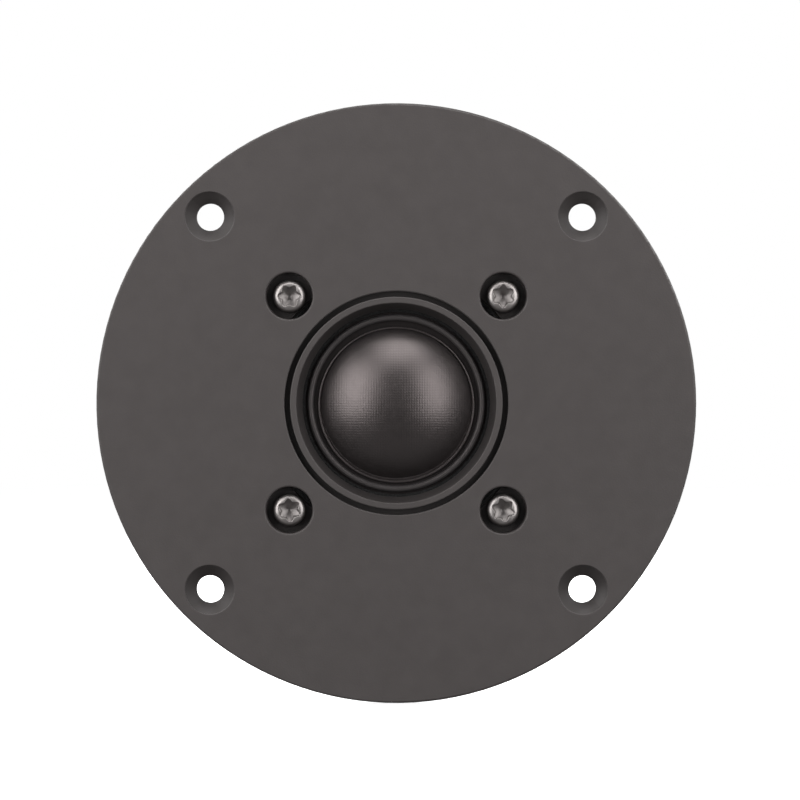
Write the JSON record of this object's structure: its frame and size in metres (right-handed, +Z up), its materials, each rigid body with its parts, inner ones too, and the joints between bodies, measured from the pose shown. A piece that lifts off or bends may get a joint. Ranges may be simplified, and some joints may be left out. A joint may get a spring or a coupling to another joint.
{
  "type": "soft dome tweeter",
  "caption": "Flange-mount loudspeaker tweeter: round dark grey face plate, countersunk mounting holes, sunk six-lobe screws, short conical mouth and a black coated soft dome.",
  "frame": {"origin": "centre of the flange's rear face, on the speaker's axis, at the centre of the four mounting holes", "axes": "+Y along the speaker's axis, from the face towards the magnet; the dome faces -Y; +Z is up, opposite the terminals"},
  "size_m": [0.104, 0.0491, 0.104],
  "materials": {
    "plate_plastic": "fine mould texture, matt dark warm grey",
    "seal_foam": "closed-cell foam, matt black",
    "screw_nickel": "dark nickel plating, worn bright",
    "gasket_foam": "thin foam, matt black",
    "ring_plastic": "moulded, satin black",
    "dome_cloth": "fine woven cloth under a soft black coating, satin",
    "surround_cloth": "coated cloth, satin black",
    "former_aluminium": "thin foil, satin",
    "coil_wire": "enamelled round wire in two layers",
    "lead_wire": "flexible bare lead",
    "solder": "bright, smooth",
    "tab_brass": "tin-plated brass, satin",
    "fibre_paper": "hard fibre paper",
    "block_plastic": "moulded, half gloss black",
    "block_screw_steel": "zinc plated",
    "washer_steel": "turned and passivated",
    "ferrite": "ground and matt, dark grey",
    "cap_copper": "drawn copper",
    "pole_steel": "turned low-carbon steel",
    "felt": "pressed wool felt, grey",
    "vent_foam": "open-cell foam",
    "cup_plastic": "moulded, fine texture, black",
    "wadding": "white polyester wadding",
    "cup_screw_steel": "black oxide"
  },
  "bodies": {
    "frame": {"face_plate": "plate_plastic", "mounting_seal": "seal_foam", "assembly_screws": "screw_nickel", "diaphragm_gasket": "gasket_foam", "diaphragm_ring": "ring_plastic", "surround": "surround_cloth", "coil_lead_positive": "lead_wire", "coil_lead_negative": "lead_wire", "solder_joints": "solder", "terminal_tab_positive": "tab_brass", "terminal_tab_negative": "tab_brass", "tab_insulator": "fibre_paper", "terminal_block": "block_plastic", "terminal_screws": "block_screw_steel", "front_washer": "washer_steel", "magnet_ring": "ferrite", "back_plate": "washer_steel", "pole_piece": "pole_steel", "pole_cap": "cap_copper", "pole_felt": "felt", "vent_foam": "vent_foam", "chamber_gasket": "gasket_foam", "rear_chamber": "cup_plastic", "chamber_wadding": "wadding", "chamber_screws": "cup_screw_steel"},
    "diaphragm": {"dome": "dome_cloth", "coil_former": "former_aluminium", "coil_winding": "coil_wire"}
  },
  "joints": [
    {"name": "diaphragm_travel", "type": "slide", "parent": "frame", "child": "diaphragm", "axis": [0, -1, 0], "range_m": [-0.0005, 0.0005], "stiffness_N_per_m": 6000, "deforming": ["surround", "coil_lead_positive", "coil_lead_negative"]}
  ]
}
